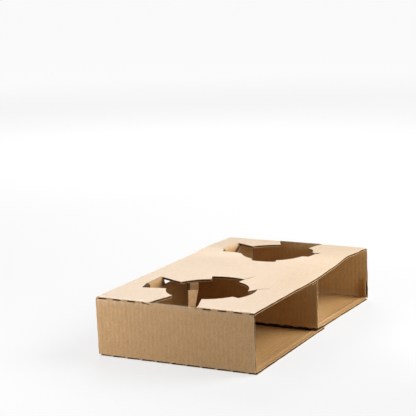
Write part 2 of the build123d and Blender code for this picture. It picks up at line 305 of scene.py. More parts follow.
def sleeve_path(s):
    """The sleeve from the near floor's inner end to the glue flap's end, and x and place on its top."""
    m = s.board / 2
    climb_turn = 5 * MM
    flap_end = s.divider_x - m - s.glue_flap
    corners = [
        (s.floor_overlap, m),
        (wall_x(s, -1, 0, m), m),
        (wall_x(s, -1, s.height, m), s.height - m),
        (wall_x(s, 1, s.height, m), s.height - m),
        (wall_x(s, 1, 0, m), m),
        (s.floor_overlap, s.board + m),
        (s.divider_x, s.board + m),
        (s.divider_x, top_level(s, s.divider_x) - s.board - m),
        (flap_end, top_level(s, flap_end) - s.board - m),
    ]
    turns = [s.fold_turn] * 4 + [climb_turn] + [s.fold_turn] * 2
    rows = rounded_rows(corners, turns)
    on_top = (np.abs(np.cos(rows[:, 2])) > 0.999) & (np.abs(rows[:, 1] - s.height + m) < 0.1 * MM)
    level, slope = wave(s, rows[on_top, 0])
    rows[on_top, 1] += level
    rows[on_top, 2] += np.arctan(slope)
    path = Path(rows, 1)
    top = (path.b > s.height - 3 * MM) & (np.abs(path.heading) < 1.0)
    return path, path.a[top], path.along[top]


# Flat plans of the sheet: points along and across, triangles between them


def within(points, outline):
    """Which of the points lie inside a closed outline."""
    x = points[:, 0]
    y = points[:, 1]
    hit = np.zeros(len(points), bool)
    for (ax, ay), (bx, by) in zip(outline, np.roll(outline, -1, axis=0)):
        if ay != by:
            hit ^= ((ay > y) != (by > y)) & (x < (bx - ax) * (y - ay) / (by - ay) + ax)
    return hit


def distance_to(points, outline):
    """Distance of each point from a closed outline."""
    best = np.full(len(points), 1.0)
    for a, b in zip(outline, np.roll(outline, -1, axis=0)):
        along = b - a
        t = np.clip((points - a) @ along / max(along @ along, 1e-18), 0, 1)
        best = np.minimum(best, np.linalg.norm(points - a - t[:, None] * along, axis=1))
    return best


def refined(outline, step):
    """The outline with its long edges divided."""
    points = []
    for a, b in zip(outline, np.roll(outline, -1, axis=0)):
        pieces = max(1, math.ceil(np.linalg.norm(b - a) / step))
        points += [a + (b - a) * i / pieces for i in range(pieces)]
    return np.array(points)


def flat_plan(outline, holes, rows, columns, clear):
    """Points and triangles over an outline less its holes, with points where rows and columns cross."""
    grid = np.array([(u, v) for u in rows for v in columns])
    grid = grid[within(grid, outline) & (distance_to(grid, outline) > clear)]
    for hole in holes:
        near = np.all(np.abs(grid - hole.mean(axis=0)) < np.ptp(hole, axis=0) + clear, axis=1)
        keep = ~near
        keep[near] = ~within(grid[near], hole) & (distance_to(grid[near], hole) > clear)
        grid = grid[keep]
    points = [Vector(p) for p in grid]
    edges = []
    for shape in [outline] + holes:
        first = len(points)
        points += [Vector(p) for p in shape]
        edges += [(first + i, first + (i + 1) % len(shape)) for i in range(len(shape))]
    found = delaunay_2d_cdt(points, edges, [], 0, 1e-7)
    flat = np.array([tuple(p) for p in found[0]])
    triangles = np.array([f for f in found[2] if len(f) == 3])
    middle = flat[triangles].mean(axis=1)
    solid = within(middle, outline)
    for hole in holes:
        solid &= ~within(middle, hole)
    triangles = triangles[solid]
    used, triangles = np.unique(triangles, return_inverse=True)
    return flat[used], triangles.reshape(-1, 3)


def boundary_edges(triangles):
    """Edges that belong to one triangle only, in that triangle's direction."""
    edges = np.concatenate((triangles[:, [0, 1]], triangles[:, [1, 2]], triangles[:, [2, 0]]))
    whole = set(map(tuple, edges))
    return np.array([edge for edge in whole if (edge[1], edge[0]) not in whole])


# The sheet's parts


def turned(points, degrees, shift):
    """The points turned about the middle and then moved."""
    c = math.cos(math.radians(degrees))
    n = math.sin(math.radians(degrees))
    return points @ np.array(((c, n), (-n, c))) + np.array(shift)


def arc(radius, start, end):
    """Points of an arc round the middle between two angles in degrees."""
    angles = np.radians(np.linspace(start, end, max(3, round(abs(end - start) / 3) + 1)))
    return np.stack((np.cos(angles), np.sin(angles)), axis=1) * radius


class Bay:
    """One half of the carrier: its cup hole, its end wall's side and its back wall's place."""

    def __init__(self, s, far):
        values = FAR_HOLE if far else NEAR_HOLE
        m = s.board / 2
        play = 0.8 * MM
        self.side = 1 if far else -1
        self.x = self.side * (s.length / 2 - values["from_end"] * MM) - s.lean / 2
        self.y = values["y"] * MM
        self.end_x = self.x + self.side * (values["from_end"] * MM - s.board)
        self.end_y = values["end_y"] * MM
        self.wall_y = values["wall_y"] * MM
        self.radii = {key: values[key] * MM for key in ("petal", "divider", "open")}
        self.stretches = FAR_STRETCHES if far else NEAR_STRETCHES
        self.slits = FAR_SLITS if far else NEAR_SLITS
        if far:
            self.wall_span = (s.divider_x + m + play, wall_x(s, 1, s.wall_height, s.board) - play)
        else:
            self.wall_span = (wall_x(s, -1, 0, s.board) + play, s.divider_x - m - play)

    def hole(self, s):
        """Outline of the cup hole in the plan of the top panel."""
        hinge = grip_hinge(s, self.wall_y)
        middle = self.x + s.grip_shift
        left = middle - s.grip_half
        flare = (left - s.grip_flare, hinge - s.grip_flare_back)
        notches = {
            "grip": ((middle + s.grip_half, hinge), (left, hinge), flare),
            "end": ((self.end_x, self.end_y - self.side * s.end_notch_half),
                    (self.end_x, self.end_y + self.side * s.end_notch_half)),
        }
        runs = []
        for kind, *angles in self.stretches:
            if angles:
                runs.append(arc(self.radii[kind], *angles) + np.array((self.x, self.y)))
            else:
                runs.append(np.array(notches[kind]))
        return np.concatenate(runs)

    def slit_shapes(self):
        """Thin pointed cuts that start inside the hole's edge and run on into the panel."""
        shapes = []
        for radius, angle, length, half, direction in self.slits:
            start = arc(radius * MM, angle, angle)[0] + np.array((self.x, self.y))
            taper = 0.6 * length
            blade = np.array([(0.0, -half), (taper, -half), (length, 0.0), (taper, half), (0.0, half)])
            shapes.append(turned(blade * MM, direction, start))
        return shapes


def grip_hinge(s, wall_y):
    """Place across the width where the top panel starts to turn down into a grip flap."""
    gap = 0.5 * MM
    return wall_y + s.board / 2 + gap + s.fold_turn + s.board / 2


def floor_rise(s, x):
    """How far the far floor stands over the table, as it climbs onto the near floor's end."""
    foot = wall_x(s, 1, 0) - s.fold_turn - s.board
    return s.board * np.clip((foot - x) / (foot - s.floor_overlap), 0, 1)


def tongue_place(s):
    """Where the hanging tongue leaves the near hole's petal circle, and its direction in degrees."""
    bay = Bay(s, False)
    round_hole = 46.5
    direction = 40.0
    return arc(bay.radii["petal"], round_hole, round_hole)[0] + np.array((bay.x, bay.y)), direction


def smooth(values):
    """Soft step from 0 to 1 over the values from 0 to 1."""
    t = np.clip(values, 0, 1)
    return t * t * (3 - 2 * t)


def soft_noise(values, seed):
    """Smooth noise between about -1 and 1 for rows of three values."""
    shift = Vector((seed * 17.3, seed * 5.1, seed * 9.7))
    return np.array([noise.noise(Vector(v) + shift) for v in values])


def ragged(s, along, y, layer):
    """Small unevenness of the two cut long edges, different for each layer of the board."""
    margin = 4 * MM
    wavelength = 7 * MM
    near_edge = np.clip((np.abs(y) - s.width / 2 + margin) / margin, 0, 1)
    rough = np.zeros(len(y))
    here = near_edge > 0
    apart = np.full(here.sum(), layer * 2.0)
    values = np.stack((along[here] / wavelength, np.sign(y[here]) * 3, apart), axis=1)
    finer = 3.1
    rough[here] = soft_noise(values, EDGE_SEED) + 0.5 * soft_noise(values * finer, FINE_EDGE_SEED)
    inwards = (0.12 + 0.28 * rough) * MM
    return -np.sign(y) * near_edge ** 2 * inwards


class Sleeve:
    """The sleeve: floors, end walls, top panel, divider and glue flap in one strip."""

    def __init__(self, s):
        self.s = s
        self.path, self.top_x, self.top_along = sleeve_path(s)
        self.zero = float(np.interp(0.0, self.top_x, self.top_along))
        self.bends = [(a, b) for a, b in self.path.bends() if b - a > 1 * MM]
        self.bays = (Bay(s, False), Bay(s, True))

    def along_top(self, x):
        """Place along the sheet for a place along the top panel."""
        return np.interp(x, self.top_x, self.top_along)

    def floor_span(self, x_from, x_to, far):
        """Places along the sheet of a stretch of the near or far floor."""
        floor = self.path.b < 4 * MM
        right = (self.path.along > self.zero) == far
        use = floor & right & (np.abs(np.cos(self.path.heading)) > 0.5)
        order = np.argsort(self.path.a[use])
        return sorted(np.interp((x_from, x_to), self.path.a[use][order], self.path.along[use][order]))

    def fold_cuts(self, layer):
        """Rows of cuts through the folds; the two whose cuts stand wide open are cut from outside only."""
        s = self.s
        cuts = []
        for number, (start, end) in enumerate(self.bends[:DIVIDER_FOOT + 1]):
            if layer == INNER and number in CUT_OPENED:
                continue
            fold = (start + end) / 2
            wider, longer = CUT_OPENED.get(number, (1.0, 1.0))
            half = (s.cut_width / 2 * wider, s.cut_length / 2 * longer)
            y = s.width / 2 - FIRST_CUT
            while y > -s.width / 2:
                if number not in (NEAR_TOP, FAR_TOP) or abs(y) > s.end_notch_half:
                    cuts.append(np.array([(fold + a * half[0], y + b * half[1]) for a, b in CUT_SHAPE]))
                y -= s.cut_pitch
        return cuts

    def holes(self, layer):
        """Everything that is cut out of one layer of the strip."""
        s = self.s
        past_fold = 0.1 * MM
        past_edge = 5 * MM
        found = []
        for number, bay in zip((NEAR_TOP, FAR_TOP), self.bays):
            for shape in [bay.hole(s)] + bay.slit_shapes():
                at_end = np.abs(shape[:, 0] - bay.end_x) < 1e-6
                shape[:, 0] = self.along_top(shape[:, 0])
                shape[at_end, 0] = self.bends[number][bay.side < 0] + bay.side * past_fold
                found.append(refined(shape, 2 * MM))
            start, end = self.floor_span(*bay.wall_span, bay.side > 0)
            low = s.width / 2 - s.board
            high = s.width / 2 + past_edge
            margin = np.array(((start, low), (end, low), (end, high), (start, high)))
            found.append(refined(margin, s.mesh_step))
        return found + self.fold_cuts(layer)

    def plan(self, columns, step, layer, recess=0.0):
        """Points and triangles of the strip laid flat, its long edges moved in by the recess."""
        s = self.s
        rows = self.path.rows(step)
        half = s.width / 2 - recess
        clear = 0.25 * MM
        outline = np.array([(u, -half) for u in rows] + [(u, half) for u in rows[::-1]])
        return flat_plan(outline, self.holes(layer), rows, columns, clear)

    def flute_plan(self, step, flute_step):
        """The same with close columns across the flutes, for the paper between the liners."""
        return self.plan(self.columns(step), flute_step, MEDIUM, self.s.edge_recess)

    def columns(self, step):
        """Even columns across the strip, with close ones at both cut edges."""
        half = self.s.width / 2
        margin = 2 * MM
        close = 0.7 * MM
        apart = 0.5 * MM
        inner = np.linspace(-half + margin, half - margin, round(2 * (half - margin) / step) + 1)
        beside = self.s.end_notch_half + NOTCH_BLEND
        stops = [bay.end_y + side * beside for bay in self.bays for side in (-1, 1)]
        stops += [CREASE - half + CREASE_HALF * i for i in (-1, 0, 1)]
        inner = inner[[min(abs(y - n) for n in stops) > apart for y in inner]]
        return np.sort(np.concatenate(((-half, -half + close), inner, stops, (half - close, half))))

    def crease(self, along, y):
        """How close a place on the sheet is to the crease along the floors, from 0 to 1."""
        near_floor = along < self.bends[NEAR_FOOT][0]
        far_floor = (along > self.bends[FAR_FOOT][1]) & (along < self.bends[DIVIDER_FOOT][0])
        return np.exp(-((y + self.s.width / 2 - CREASE) / CREASE_HALF) ** 2) * (near_floor | far_floor)

    def course(self, along, y, outwards):
        """The path, with the fold's round straightened where an end notch has freed the wall's top."""
        s = self.s
        x, z, heading = self.path.at(along, outwards)
        for bay, (start, end) in zip(self.bays, self.bends[NEAR_TOP:FAR_TOP + 1]):
            root = start if bay.side < 0 else end
            beside = s.end_notch_half + NOTCH_BLEND - np.abs(y - bay.end_y)
            weight = smooth(beside / NOTCH_BLEND) * ((along > start) & (along < end))
            root_x, root_z, root_heading = self.path.at(np.full(len(along), root), outwards)
            run = along - root
            x = x + weight * (root_x + np.cos(root_heading) * run - x)
            z = z + weight * (root_z + np.sin(root_heading) * run - z)
            heading = heading + weight * (root_heading - heading)
        return x, z, heading

    def rise(self, x, y, z):
        """How far the top panel lies over the plain wave: its swell and its sag are deeper in front."""
        s = self.s
        swell_more = 0.32
        sag_start = 25 * MM
        sag_run = 32.5 * MM
        level, _ = wave(s, x)
        swell = np.where(level > 0, level, 0) * (-y / (s.width / 2)) * swell_more
        sag_least, sag_more = -0.25, 2.5
        front = sag_least + sag_more * smooth((-y - sag_start) / sag_run)
        sag = np.where(level < 0, level, 0) * (front - 1)
        near_top = np.clip((z - s.height + 6 * MM) / (3 * MM), 0, 1)
        return (swell + sag) * near_top

    def foot_rise(self, along):
        """How far the divider's foot stands off the near floor under it."""
        start, end = self.bends[DIVIDER_FOOT]
        before, rise_run = 13 * MM, 11 * MM
        after, fall_run = 14 * MM, 12 * MM
        begins = smooth((along - start + before) / rise_run)
        fades = smooth((end + after - along) / fall_run)
        return self.s.foot_gap * begins * fades

    def lift(self, x, y, z, layer):
        """How far each layer stands off outwards: slack panels, and an inner liner that came loose."""
        s = self.s
        values = np.stack((x / (45 * MM), y / (38 * MM), z / (30 * MM)), axis=1)
        off = s.slack * soft_noise(values, PANEL_SEED)
        if layer == INNER:
            curl_width = 7 * MM
            curl_level = 9 * MM
            on_far_wall = x > s.length / 2 - 6 * MM
            beside = smooth((-y - s.width / 2 + curl_width) / curl_width)
            upright = smooth(1.2 - np.abs(z - curl_level) / curl_level)
            off = off - on_far_wall * beside * upright * s.curl
        return off

    def place(self, plan, depth, layer):
        """Points of the folded strip at a depth below the outside."""
        s = self.s
        along = plan[:, 0]
        y = plan[:, 1]
        x, z, heading = self.course(along, y, s.board / 2 - depth)
        off = self.lift(x, y, z, layer) - CREASE_RISE * self.crease(along, y)
        y = y + ragged(s, along, y, layer)
        resting = np.clip(z / (3 * MM), 0, 1)
        rise = self.rise(x, y, z) + self.foot_rise(along)
        z = z + rise + np.cos(heading) * off * resting
        return np.stack((x - np.sin(heading) * off, y, z), axis=1)

    def marks(self, plan, layer):
        """Where a liner takes the inner liner's darker colour as painted shade, on the divider and glue
        flap, and where a gap is painted dark as shade: under the divider, at the far foot.
        """
        s = self.s
        past = 1 * MM
        before_foot = 12 * MM
        open_margin = 5 * MM
        first_dash_end, second_dash, dash_half = -38 * MM, -30 * MM, 3 * MM
        along = plan[:, 0]
        y = plan[:, 1]
        foot, top = self.bends[DIVIDER_FOOT]
        # Painted shade: the divider and glue flap take the inner liner's darker colour on both liners
        indoors = smooth((along - foot) / past)
        if layer == OUTER:
            # Outer liner: painted shade on the far floor's end and the divider's foot, seen through the gap
            # under the foot
            return indoors, (along > foot - before_foot) & (along < (foot + top) / 2)
        # Inner liner: painted shade on the near floor's end under the far floor, short of the open edge
        under_foot = (along < s.floor_overlap - s.divider_x + past) & (y > open_margin - s.width / 2)
        low, high = self.bends[FAR_FOOT]
        part = (along - low) / (high - low)
        # and dashes of painted shade in the far wall's foot fold
        dashes = (y < first_dash_end) | (np.abs(y - second_dash) < dash_half)
        return indoors, under_foot | ((part > 0.1) & (part < 0.65) & dashes)


class SideStrip:
    """A strip that folds about the length: a back wall with its hem, or a grip flap."""

    def __init__(self, s, rows, x_from, x_to, level, painted_in_shade=False):
        self.s = s
        self.path = Path(rows, -1)
        self.x_from = x_from
        self.x_to = x_to
        self.level = level
        self.painted_in_shade = painted_in_shade

    def plan(self, columns, step, layer):
        """Points and triangles of the strip laid flat, its length first."""
        return self.flat(columns, self.path.rows(step), CLEAR)

    def flute_plan(self, step, flute_step):
        """The same with close rows across the flutes, which run along its length."""
        whole = self.path.along[-1]
        rows = np.linspace(0, whole, max(8, round(whole / step)) + 1)
        return self.flat(self.columns(flute_step), rows, CLEAR / 2)

    def flat(self, columns, rows, clear):
        """Points and triangles over the strip's oblong, where the columns and rows cross."""
        outline = [(x, rows[0]) for x in columns] + [(self.x_to, v) for v in rows[1:-1]]
        outline += [(x, rows[-1]) for x in columns[::-1]] + [(self.x_from, v) for v in rows[-2:0:-1]]
        return flat_plan(np.array(outline), [], columns, rows, clear)

    def columns(self, step):
        """Even columns along the strip."""
        return np.linspace(self.x_from, self.x_to, max(4, round((self.x_to - self.x_from) / step)) + 1)

    def place(self, plan, depth, layer):
        """Points of the folded strip at a depth below the outside."""
        x = plan[:, 0]
        y, z, _ = self.path.at(plan[:, 1], self.s.board / 2 - depth)
        values = np.stack((x / (30 * MM), y / (30 * MM), z / (20 * MM)), axis=1)
        most = 0.25 * MM
        stiff_foot, soft_run = 4 * MM, 10 * MM
        over_floor = np.clip((z - stiff_foot) / soft_run, 0, 1)
        slack = most * soft_noise(values, STRIP_SEED) * over_floor
        return np.stack((x, y + slack, z + self.level(x, z)), axis=1)

    def marks(self, plan, layer):
        """A strip painted in shade takes the inner liner's darker colour, and its end is painted dark as
        shade.
        """
        shaded_end = 6 * MM
        return np.full(len(plan), float(self.painted_in_shade)), self.painted_in_shade & (plan[:, 0] < self.x_from + shaded_end)


class Tongue:
    """The narrow tongue that hangs from under the panel at the near hole's petal edge."""

    def __init__(self, s):
        self.s = s
        tilt = math.radians(24)
        tip = (-math.sin(tilt) * s.tongue_lower, -s.tongue_upper - math.cos(tilt) * s.tongue_lower)
        sunk = 0.2 * MM
        under = sunk - s.board * 1.5
        root = s.board + 4 * MM
        behind = 0.6 * MM
        turns = [0.95 * MM, 1.2 * MM]
        corners = [(root, under), (behind, under), (behind, -s.tongue_upper), tip]
        self.path = Path(rounded_rows(corners, turns), -1)

    def plan(self, columns, step, layer):
        """Points and triangles of the tongue laid flat."""
        rows = self.path.rows(step)
        half = self.s.tongue_width / 2
        places = (0, *self.path.bends()[-1], rows[-1])
        right = np.interp(rows, places, (1.1, 1.1, 1.0, 0.6)) * half
        left = np.interp(rows, places, (1.35, 1.35, 1.5, 0.8)) * half
        outline = list(zip(rows, -right)) + list(zip(rows[::-1], left[::-1]))
        return flat_plan(np.array(outline), [], rows, columns, CLEAR)

    def flute_plan(self, step, flute_step):
        """The same with close columns across the flutes, for the paper between the liners."""
        return self.plan(self.columns(step), flute_step, MEDIUM)

    def dark_from(self):
        """Where the painted dark shade along the upper part's left edge begins."""
        return 0.8 * self.s.tongue_width / 2

    def columns(self, step):
        """Even columns across the tongue, up to its strip of painted shade."""
        half = self.s.tongue_width / 2
        return np.linspace(-half, self.dark_from(), max(4, round(2 * half / step)) + 1)

    def place(self, plan, depth, layer):
        """Points of the hanging tongue at a depth below its outside."""
        s = self.s
        reach, z, _ = self.path.at(plan[:, 0], s.board / 2 - depth)
        middle, _, _ = self.path.at(plan[:, 0], 0.0)
        at, angle = tongue_place(s)
        bend = self.path.bends()[-1]
        past = smooth((plan[:, 0] - bend[0]) / (bend[1] - bend[0]))
        straightened = 0.75
        turned_back, turned_on = 0.9, 1.3
        course = np.radians(angle * (1 - straightened * past))
        turn = np.radians(angle * (turned_back + (turned_on - turned_back) * past))
        x = at[0] + middle * np.cos(course) + (reach - middle) * np.cos(turn) - plan[:, 1] * np.sin(turn)
        y = at[1] + middle * np.sin(course) + (reach - middle) * np.sin(turn) + plan[:, 1] * np.cos(turn)
        return np.stack((x, y, z + top_level(s, at[0])), axis=1)

    def marks(self, plan, layer):
        """The upper part takes the inner liner's darker colour as painted shade, and its left edge is
        painted dark as shade.
        """
        nearly = 0.1 * MM
        upper_part = plan[:, 0] < self.path.bends()[-1][0] + nearly
        return upper_part * 1.0, upper_part & (plan[:, 1] > self.dark_from() - nearly)


def back_wall(s, far):
    """A back wall folded up from the hem on the floor's back margin."""
    bay = Bay(s, far)
    m = s.board / 2
    half = s.width / 2
    hem_turn = 0.79 * MM
    hem = [(half - s.board, m), (half - m, m), (half - m, s.board + m)]
    corners = hem + [(bay.wall_y, s.board + m), (bay.wall_y, s.wall_height)]
    rows = rounded_rows(corners, [hem_turn, hem_turn, s.fold_turn])
    if far:
        rise, begins, run = s.far_wall_rise, 12 * MM, 3 * MM
    else:
        rise, begins, run = s.near_wall_rise, 2 * MM, 5 * MM

    def level(x, z):
        higher = rise * smooth((bay.side * (x - bay.x) - begins) / run)
        return higher * np.clip(z / s.wall_height, 0, 1) + far * floor_rise(s, x)

    return SideStrip(s, rows, *bay.wall_span, level)


def grip_flap(s, far):
    """A grip flap bent down from the top panel behind a back wall."""
    bay = Bay(s, far)
    m = s.board / 2
    start = grip_hinge(s, bay.wall_y)
    face = start - s.fold_turn - m
    tip = s.height - s.grip_drop
    lean = 0.0 if far else s.near_grip_lean
    corners = [(start, s.height - m), (face + m, s.height - m), (face + m - lean, tip)]
    rows = rounded_rows(corners, [s.fold_turn])
    middle = bay.x + s.grip_shift

    def level(x, z):
        return wave(s, x)[0] * np.clip((z - tip) / (s.grip_drop - m), 0, 1)

    left = middle - s.grip_width / 2 - s.grip_reach
    # The near grip flap gets painted shade: the inner liner's darker colour and a dark end
    return SideStrip(s, rows, left, middle + s.grip_width / 2, level, painted_in_shade=not far)


def sheet_parts(s):
    """All parts of the one folded sheet."""
    parts = [Sleeve(s), Tongue(s)]
    for far in (False, True):
        parts += [back_wall(s, far), grip_flap(s, far)]
    return parts


# Meshes


def new_object(name, points, faces, attributes):
    """An object at the origin from points and triangles, with named values on its points."""
    mesh = bpy.data.meshes.new(name)
    mesh.from_pydata([tuple(p) for p in points], [], [tuple(f) for f in faces])
    for key, values in attributes.items():
        flat = np.asarray(values, np.float32)
        kind = "FLOAT" if flat.ndim == 1 else "FLOAT_VECTOR"
        layer = mesh.attributes.new(key, kind, "POINT")
        layer.data.foreach_set("value" if flat.ndim == 1 else "vector", flat.ravel())
    mesh.update()
    return linked_object(name, mesh)


def linked_object(name, data):
    """An object of the scene that holds the data."""
    obj = bpy.data.objects.new(name, data)
    bpy.context.scene.collection.objects.link(obj)
    return obj


def merged_object(name, pieces):
    """One object from several pieces, each with its points, its faces and its values on the points."""
    starts = np.cumsum([0] + [len(points) for points, _, _ in pieces])
    points = np.concatenate([piece[0] for piece in pieces])
    faces = np.concatenate([piece[1] + start for piece, start in zip(pieces, starts)])
    values = {key: np.concatenate([piece[2][key] for piece in pieces]) for key in pieces[0][2]}
    return new_object(name, points, faces, values)


def sheet_values(part, plan, triangles):
    """What the paper's materials follow: place on the sheet, closeness to a cut edge and to a fold."""
    sharp_bend = 3 * MM
    wear_reach = 1.5 * MM
    edge = np.zeros(len(plan))
    edge[np.unique(boundary_edges(triangles))] = 1.0
    sideways = isinstance(part, SideStrip)
    along = plan[:, 1 if sideways else 0]
    fold = np.zeros(len(plan))
    for start, end in part.path.bends():
        if end - start < sharp_bend:
            off = np.maximum(np.maximum(start - along, along - end), 0)
            fold = np.maximum(fold, np.clip(1 - off / wear_reach, 0, 1))
    if isinstance(part, Sleeve):
        fold = np.maximum(fold, part.crease(plan[:, 0], plan[:, 1]))
    sheet = plan + np.array((0.4, 0.3)) * sideways
    return {"sheet": np.column_stack((sheet, np.zeros(len(plan)))), "edge": edge, "fold": fold}


def closed_layer(part, plan, triangles, upper, lower, layer):
    """Both faces of one layer of paper and the strip round its cut edges."""
    top = part.place(plan, upper, layer)
    under = part.place(plan, lower, layer)
    rim = boundary_edges(triangles)
    count = len(plan)
    a, b = rim[:, 0], rim[:, 1]
    faces = np.concatenate((
        triangles, triangles[:, ::-1] + count,
        np.stack((b, a, a + count), axis=1), np.stack((b, a + count, b + count), axis=1)))
    return np.concatenate((top, under)), faces


def faces_outwards(obj):
    """Turns every closed shell of the mesh so that its faces point outwards."""
    shape = bmesh.new()
    shape.from_mesh(obj.data)
    bmesh.ops.recalc_face_normals(shape, faces=shape.faces)
    shape.to_mesh(obj.data)
    shape.free()


def build_liner(name, s, parts, layer):
    """One liner of the whole sheet as closed thin shells."""
    upper = 0.0 if layer == OUTER else s.board - s.liner
    pieces = []
    for part in parts:
        plan, triangles = part.plan(part.columns(s.mesh_step), s.mesh_step, layer)
        shell, faces = closed_layer(part, plan, triangles, upper, upper + s.liner, layer)
        indoors, dark = part.marks(plan, layer)
        own = sheet_values(part, plan, triangles)
        own["edge"] = own["edge"] * (1 - dark)
        own["indoors"] = indoors
        values = {key: np.concatenate((value, value)) for key, value in own.items()}
        # Painted shade: the liner's face against the fluted paper, and the marked dark places on its seen
        # face, get the near-black fluted colour
        fluted_side = np.ones(len(plan))
        values["core"] = np.concatenate((dark, fluted_side) if layer == OUTER else (fluted_side, dark))
        pieces.append((shell, faces, values))
    obj = merged_object(name, pieces)
    faces_outwards(obj)
    return obj


def paint(obj, attribute, material):
    """Gives the faces whose points all hold the attribute a material of their own."""
    obj.data.materials.append(material)
    index = len(obj.data.materials) - 1
    values = np.zeros(len(obj.data.vertices), np.float32)
    obj.data.attributes[attribute].data.foreach_get("value", values)
    for face in obj.data.polygons:
        if min(values[v] for v in face.vertices) > 0.5:
            face.material_index = index


def build_medium_base(name, s, parts):
    """The board's middle as one open surface, with its outward direction and its place across the flutes."""
    probe = 0.2 * MM
    pieces = []
    for part in parts:
        plan, triangles = part.flute_plan(s.flute_pitch / s.flute_points, s.mesh_step * 2)
        middle = part.place(plan, s.board / 2, MEDIUM)
        out = part.place(plan, s.board / 2 - probe, MEDIUM) - middle
        values = sheet_values(part, plan, triangles)
        values["across"] = plan[:, 1] + FLUTE_SKEW * plan[:, 0]
        values["outward"] = out / np.maximum(np.linalg.norm(out, axis=1), 1e-9)[:, None]
        pieces.append((middle, triangles, values))
    return merged_object(name, pieces)


# Node trees


def link(tree, source, target):
    """Joins an output to an input, or sets the input where the source is a plain value."""
    if isinstance(source, bpy.types.NodeSocket):
        tree.links.new(source, target)
    else:
        target.default_value = source


def made_node(tree, kind, inputs):
    """A node with its inputs, by name or number, joined or set."""
    node = tree.nodes.new(kind)
    for key, value in inputs.items():
        link(tree, value, node.inputs[key])
    return node


def math_node(tree, operation, *operands):
    """A Math node on outputs or plain numbers; returns its output."""
    node = made_node(tree, "ShaderNodeMath", dict(enumerate(operands)))
    node.operation = operation
    return node.outputs[0]


def flute_wave(tree, across, pitch):
    """Sine of the place across the flutes, with one period a flute."""
    phase = math_node(tree, "MULTIPLY", math_node(tree, "DIVIDE", across, pitch), 2 * math.pi)
    return math_node(tree, "SINE", phase)


def flute_tree():
    """Geometry nodes that press a flat middle sheet into flutes and give it a thickness."""
    tree = bpy.data.node_groups.new("Fluted paper", "GeometryNodeTree")
    face = tree.interface
    face.new_socket("Geometry", in_out="INPUT", socket_type="NodeSocketGeometry")
    for name in ("Pitch", "Flute height", "Thickness"):
        socket = face.new_socket(name, in_out="INPUT", socket_type="NodeSocketFloat")
        socket.subtype = "DISTANCE"
    face.new_socket("Paper", in_out="INPUT", socket_type="NodeSocketMaterial")
    face.new_socket("Geometry", in_out="OUTPUT", socket_type="NodeSocketGeometry")
    start = tree.nodes.new("NodeGroupInput")
    end = tree.nodes.new("NodeGroupOutput")

    def value(name, kind):
        node = tree.nodes.new("GeometryNodeInputNamedAttribute")
        node.data_type = kind
        node.inputs["Name"].default_value = name
        return node.outputs["Attribute"]

    across = value("across", "FLOAT")
    outward = value("outward", "FLOAT_VECTOR")
    swing = math_node(tree, "MULTIPLY", flute_wave(tree, across, start.outputs["Pitch"]), 0.5)
    height = math_node(tree, "MULTIPLY", swing, start.outputs["Flute height"])
    offset = tree.nodes.new("ShaderNodeVectorMath")
    offset.operation = "SCALE"
    link(tree, outward, offset.inputs[0])
    link(tree, height, offset.inputs["Scale"])
    pressed = made_node(tree, "GeometryNodeSetPosition", {
        "Geometry": start.outputs["Geometry"], "Offset": offset.outputs[0]})
    thick = made_node(tree, "GeometryNodeExtrudeMesh", {
        "Mesh": pressed.outputs["Geometry"], "Offset": outward,
        "Offset Scale": start.outputs["Thickness"], "Individual": False})
    under = made_node(tree, "GeometryNodeFlipFaces", {"Mesh": pressed.outputs["Geometry"]})
    both = made_node(tree, "GeometryNodeJoinGeometry", {0: under.outputs[0]})
    link(tree, thick.outputs["Mesh"], both.inputs[0])
    merged = made_node(tree, "GeometryNodeMergeByDistance", {
        "Geometry": both.outputs[0], "Distance": 0.001 * MM})
    realized = made_node(tree, "GeometryNodeRealizeInstances", {0: merged.outputs[0]})
    painted = made_node(tree, "GeometryNodeSetMaterial", {
        "Geometry": realized.outputs[0], "Material": start.outputs["Paper"]})
    link(tree, painted.outputs[0], end.inputs[0])
    return tree


def modifier_input(modifier, name, value):
    """Sets a geometry nodes modifier's input by its socket's identifier."""
    for item in modifier.node_group.interface.items_tree:
        if item.item_type == "SOCKET" and item.in_out == "INPUT" and item.name == name:
            modifier[item.identifier] = value
            return
    raise RuntimeError(f"the node tree has no input named {name}")


def plain_mesh(obj):
    """Replaces the object's mesh by what its modifiers make of it, and removes them."""
    bpy.context.view_layer.update()
    evaluated = obj.evaluated_get(bpy.context.evaluated_depsgraph_get())
    mesh = bpy.data.meshes.new_from_object(evaluated)
    obj.modifiers.clear()
    old = obj.data
    obj.data = mesh
    bpy.data.meshes.remove(old)
    mesh.name = obj.name


# Materials


def group_tree(name, numbers, outputs):
    """An empty shader node group on a place and named numbers, and its input and output nodes."""
    tree = bpy.data.node_groups.new(name, "ShaderNodeTree")
    face = tree.interface
    face.new_socket("Place", in_out="INPUT", socket_type="NodeSocketVector")
    for key, value in numbers.items():
        socket = face.new_socket(key, in_out="INPUT", socket_type="NodeSocketFloat")
        socket.default_value = value
    for key in outputs:
        face.new_socket(key, in_out="OUTPUT", socket_type="NodeSocketFloat")
    return tree, tree.nodes.new("NodeGroupInput"), tree.nodes.new("NodeGroupOutput")


def noise_node(tree, vector, scale, detail, roughness, stretch=None):
    """A noise texture on a vector, which may be stretched; returns its value."""
    if stretch:
        vector = made_node(tree, "ShaderNodeMapping", {"Vector": vector, "Scale": stretch}).outputs[0]
    node = made_node(tree, "ShaderNodeTexNoise", {
        "Vector": vector, "Scale": scale, "Detail": detail, "Roughness": roughness})
    return node.outputs["Fac"]


def remap(tree, value, low, high, to_low=0.0, to_high=1.0):
    """Maps a value's range to another, held at its ends."""
    node = made_node(tree, "ShaderNodeMapRange", {
        "Value": value, "From Min": low, "From Max": high, "To Min": to_low, "To Max": to_high})
    return node.outputs[0]


